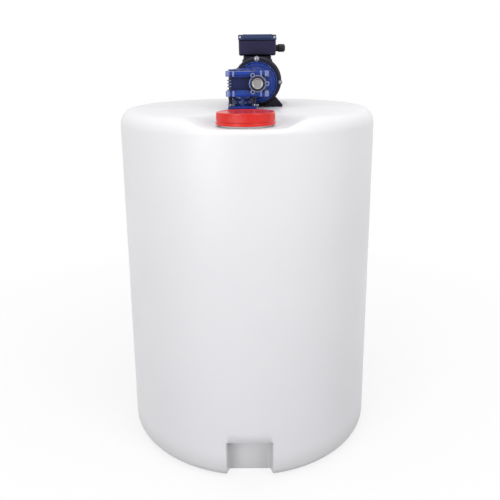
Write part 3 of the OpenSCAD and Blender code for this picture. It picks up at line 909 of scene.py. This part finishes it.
def make_input_flange():
    """Round flange between gearbox and motor, with a neck and a chamfered rim."""
    bm = bmesh.new()
    low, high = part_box("input_flange")
    radius, deep = (high.x - low.x) / 2, high.y - low.y
    face = deep - 12 * MM
    outline = softened([
        (0.0, 0.0), (40 * MM, 0.0), (44 * MM, face - 3 * MM), (48 * MM, face), (radius - 7 * MM, face),
        (radius - 6 * MM, face + 1.5 * MM), (radius - 4.5 * MM, face + 1.5 * MM),
        (radius - 1 * MM, face - 0.5 * MM), (radius, face + 2.5 * MM), (radius, deep), (0.0, deep),
    ], 1.6 * MM)
    turned(bm, outline, facing((WORM.x, low.y, WORM.z), (0, 1, 0)), steps=120)
    finish_piece("input_flange_casting", bm, BLUE, "tank", ["input_flange"])


# Motor

MOTOR_LOW, MOTOR_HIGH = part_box("motor_front_shield")
MOTOR_R = (MOTOR_HIGH.x - MOTOR_LOW.x) / 2
MOTOR_BOLT_R = 74 * MM


def make_front_shield():
    """Front end shield: a disc set a little high, with lugs for its bolts."""
    low, deep = MOTOR_LOW, MOTOR_HIGH.y - MOTOR_LOW.y
    disc_r, aside, rise = MOTOR_R - 2 * MM, 3.5 * MM, 5 * MM
    bm = bmesh.new()
    outline = softened([
        (0.0, 0.0), (disc_r - 5 * MM, 0.0), (disc_r, 6 * MM), (disc_r, deep), (0.0, deep),
    ], 2.5 * MM)
    turned(bm, outline, facing((WORM.x + aside, low.y, WORM.z + rise), (0, 1, 0)), steps=96)
    for across, up in ring_of(4, MOTOR_BOLT_R):
        place = facing((WORM.x + across, low.y, WORM.z + up), (0, 1, 0))
        peg(bm, 8.5 * MM, deep - 2 * MM, place, 2 * MM, 28)
    finish_piece("front_shield_casting", bm, NAVY, "tank", ["motor_front_shield"])


def make_bolts():
    """Bright bolts of the mixer, standing on the castings they hold."""
    bm = bmesh.new()
    sunk = 0.2 * MM
    for across, up in ring_of(4, MOTOR_BOLT_R):
        point = (WORM.x + across, MOTOR_LOW.y + sunk, WORM.z + up)
        hex_bolt(bm, point, (0, -1, 0), 11 * MM, washer=up > across, tall=5 * MM)
    for x in (FEET_LOW.x + 12 * MM, FEET_HIGH.x - 12 * MM):
        for y in (FEET_LOW.y + 15 * MM, FEET_HIGH.y - 15 * MM):
            hex_bolt(bm, (x, y, FEET_LOW.z + 7 * MM - sunk), (0, 0, 1), 10 * MM)
    for x, y in corner_points(POST_REACH):
        prism(bm, hexagon(11.5 * MM), 7 * MM, upright(x, y, FOOT_LOW.z + FOOT_T - sunk), 0.8 * MM)
    finish_piece("mixer_bolts", bm, ZINC, "tank")


# Terminal box

LID_STEP = 13 * MM
LID_STEP_H = 6.5 * MM


def tapered_box(bm, low, high, shrink, radius):
    """Box with rounded edges whose underside is narrower by shrink on every side."""
    known = set(bm.verts)
    block(bm, low, high, radius, 4)
    mid_x, mid_y, tall = (low.x + high.x) / 2, (low.y + high.y) / 2, high.z - low.z
    for vert in bm.verts:
        if vert not in known:
            down = (high.z - vert.co.z) / tall
            vert.co.x -= math.copysign(shrink, vert.co.x - mid_x) * down
            vert.co.y -= math.copysign(shrink, vert.co.y - mid_y) * down


def lid_screws(bm, low, high):
    """Cap screws on the stepped corners of the terminal box lid."""
    inset, sunk = LID_STEP * 0.55, 0.3 * MM
    for x in (low.x + inset, high.x - inset):
        for y in (low.y + inset, high.y - inset):
            socket_screw(bm, (x, y, low.z + LID_STEP_H - sunk), (0, 0, 1), 9 * MM, 6 * MM)


def make_terminal_box():
    """Cast box that tapers down to its neck, under a lid with four screwed corners."""
    low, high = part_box("terminal_box")
    bm = bmesh.new()
    tapered_box(bm, low, high, 1 * MM, 4 * MM)
    finish_piece("terminal_box_casting", bm, BOX_NAVY, "tank", ["terminal_box"])
    low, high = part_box("terminal_box_neck")
    bm = bmesh.new()
    block(bm, low, high, 4 * MM, 4)
    flare = Vector((4, -3, 0)) * MM
    block(bm, low - flare, (high.x + flare.x, high.y + flare.y, low.z + 12 * MM), 5 * MM, 4)
    finish_piece("terminal_neck_casting", bm, NAVY, "tank", ["terminal_box_neck"])
    low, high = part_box("terminal_box_lid")
    bm = bmesh.new()
    across, along = Vector((LID_STEP, 0, 0)), Vector((0, LID_STEP, 0))
    under = Vector((0, 0, 0.6 * MM))
    block(bm, low, (high.x, high.y, low.z + LID_STEP_H), 2 * MM)
    block(bm, low + across, high - across, 3 * MM, 4)
    block(bm, low + along + under, high - along - under, 3 * MM, 4)
    finish_piece("terminal_lid_casting", bm, BOX_LID, "tank", ["terminal_box_lid"])
    bm = bmesh.new()
    lid_screws(bm, low, high)
    finish_piece("terminal_lid_screws", bm, ZINC, "tank")


def make_gland():
    """Round-nosed gland nut on a hexagon collar."""
    low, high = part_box("gland_nut")
    radius, length = (high.z - low.z) / 2, high.x - low.x
    bore, nose_r = 6 * MM, radius * 0.58
    bm = bmesh.new()
    centre = (low + high) / 2
    nose = arc((radius * 0.42, length - nose_r), nose_r, 0, 80, 8)
    start = [(bore, 0.0), (radius - 2 * MM, 0.0), (radius, 2.5 * MM)]
    outline = [*start, *nose, (bore, length - 1 * MM), (bore, 0.0)]
    turned(bm, outline, facing((low.x, centre.y, centre.z), (1, 0, 0)), steps=48)
    finish_piece("gland_dome", bm, BLACK, "tank", ["gland_nut"])


make_tank()
make_neck()
make_lid()
make_output_flange()
make_posts()
make_gearbox()
make_worm_end()
make_output_covers()
make_input_flange()
make_front_shield()
make_bolts()
make_terminal_box()
make_gland()
dress("lid_seal", RUBBER)
dress("cable_gland", BLACK)
dress("motor_fan", BLACK)
for node in ("motor_body", "motor_feet", "motor_rear_shield", "fan_cowl"):
    dress(node, NAVY)
for node in ("agitator_shaft", "shaft_coupling", "impeller_hub", "impeller_blades"):
    dress(node, STAINLESS)


# Stage, light and camera

def seen_by_eye(tree):
    """One for the camera and for what metal and glossy paint show of the studio."""
    path = tree.nodes.new("ShaderNodeLightPath")
    seen = add_math(tree, "MAXIMUM", path.outputs["Is Camera Ray"], path.outputs["Is Glossy Ray"])
    return add_math(tree, "MAXIMUM", seen, path.outputs["Is Transmission Ray"])


def mix_in_white(tree, shader, white, share):
    """Mixes a plain white over a share of the shader."""
    white.inputs["Color"].default_value = (1, 1, 1, 1)
    white.inputs["Strength"].default_value = 1.0
    mix = tree.nodes.new("ShaderNodeMixShader")
    tree.links.new(share, mix.inputs[0])
    tree.links.new(shader.outputs[0], mix.inputs[1])
    tree.links.new(white.outputs[0], mix.inputs[2])
    return mix.outputs[0]


def make_stage():
    """Pale floor that keeps the shadow near the tank and fades to white further out."""
    bm = bmesh.new()
    bmesh.ops.create_grid(bm, x_segments=1, y_segments=1, size=12)
    mesh = bpy.data.meshes.new("studio_floor")
    bm.to_mesh(mesh)
    bm.free()
    floor = bpy.data.objects.new("studio_floor", mesh)
    bpy.context.scene.collection.objects.link(floor)
    paper = bpy.data.materials.new("pale_floor")
    paper.use_nodes = True
    tree = paper.node_tree
    shader = tree.nodes["Principled BSDF"]
    shader.inputs["Roughness"].default_value = 0.9
    seen = seen_by_eye(tree)
    shade = tree.nodes.new("ShaderNodeMix")
    shade.data_type = "RGBA"
    shade.inputs[MIX_FIRST].default_value = (0.34, 0.34, 0.35, 1)
    shade.inputs[MIX_SECOND].default_value = (0.95, 0.95, 0.95, 1)
    tree.links.new(seen, shade.inputs["Factor"])
    tree.links.new(shade.outputs[MIX_COLOUR], shader.inputs["Base Color"])
    distance = tree.nodes.new("ShaderNodeVectorMath")
    distance.operation = "LENGTH"
    tree.links.new(tree.nodes.new("ShaderNodeTexCoord").outputs["Object"], distance.inputs[0])
    near, far, near_share = 0.6, 2.0, 0.75
    plain = stretch_range(tree, distance.outputs["Value"], near, far, near_share, 1.0)
    white = tree.nodes.new("ShaderNodeEmission")
    lit = mix_in_white(tree, shader, white, add_math(tree, "MULTIPLY", seen, plain))
    tree.links.new(lit, tree.nodes["Material Output"].inputs["Surface"])
    mesh.materials.append(paper)


def make_world(level):
    """Even light all round at a level, and plain white for the eye."""
    world = bpy.data.worlds.new("studio")
    bpy.context.scene.world = world
    world.use_nodes = True
    tree = world.node_tree
    back = tree.nodes["Background"]
    back.inputs["Color"].default_value = (1, 1, 1, 1)
    back.inputs["Strength"].default_value = level
    white = tree.nodes.new("ShaderNodeBackground")
    lit = mix_in_white(tree, back, white, seen_by_eye(tree))
    tree.links.new(lit, tree.nodes["World Output"].inputs["Surface"])


def soft_light(name, place, target, width, height, power):
    """Rectangular lamp that looks at a target."""
    data = bpy.data.lights.new(name, "AREA")
    data.shape = "RECTANGLE"
    data.size, data.size_y, data.energy = width, height, power
    light = bpy.data.objects.new(name, data)
    bpy.context.scene.collection.objects.link(light)
    light.location = place
    light.rotation_euler = (Vector(target) - Vector(place)).to_track_quat("-Z", "Y").to_euler()


def make_camera():
    """Camera at the photograph's place, with its middle above the picture's middle."""
    distance, height, pitch, roll = 1.85, 1.224, math.radians(13.2), math.radians(-0.485)
    focal_px, middle_x_px, middle_y_px, picture_px = 554.6, 247.75, 195.0, 500.0
    data = bpy.data.cameras.new("camera")
    data.sensor_width = 36.0
    data.lens = focal_px / picture_px * data.sensor_width
    data.shift_x = (picture_px / 2 - middle_x_px) / picture_px
    data.shift_y = (middle_y_px - picture_px / 2) / picture_px
    data.clip_start, data.clip_end = 0.05, 60
    camera = bpy.data.objects.new("camera", data)
    bpy.context.scene.collection.objects.link(camera)
    look = Matrix.Rotation(math.pi / 2 - pitch, 4, "X") @ Matrix.Rotation(roll, 4, "Z")
    camera.matrix_world = Matrix.Translation((0, -distance, height)) @ look
    bpy.context.scene.camera = camera


make_stage()
make_world(0.66)
TANK_AIM, MIXER_AIM = (0, 0, 0.85), (0, -0.1, 1.2)
for lamp in (
    ("left_panel", (-1.9, -3.1, 1.2), TANK_AIM, 1.8, 1.8, 41),
    ("right_panel", (2.3, -2.3, 1.9), TANK_AIM, 1.6, 1.8, 27),
    ("top_panel", (0, -0.2, 3.4), TANK_AIM, 2.4, 2.4, 19),
    ("mixer_left_window", (-1.1, -1.5, 1.75), MIXER_AIM, 0.15, 0.4, 2.0),
    ("mixer_right_window", (0.9, -1.3, 2.1), MIXER_AIM, 0.15, 0.3, 1.4),
):
    soft_light(*lamp)
make_camera()
bpy.context.scene.view_settings.view_transform = "Standard"
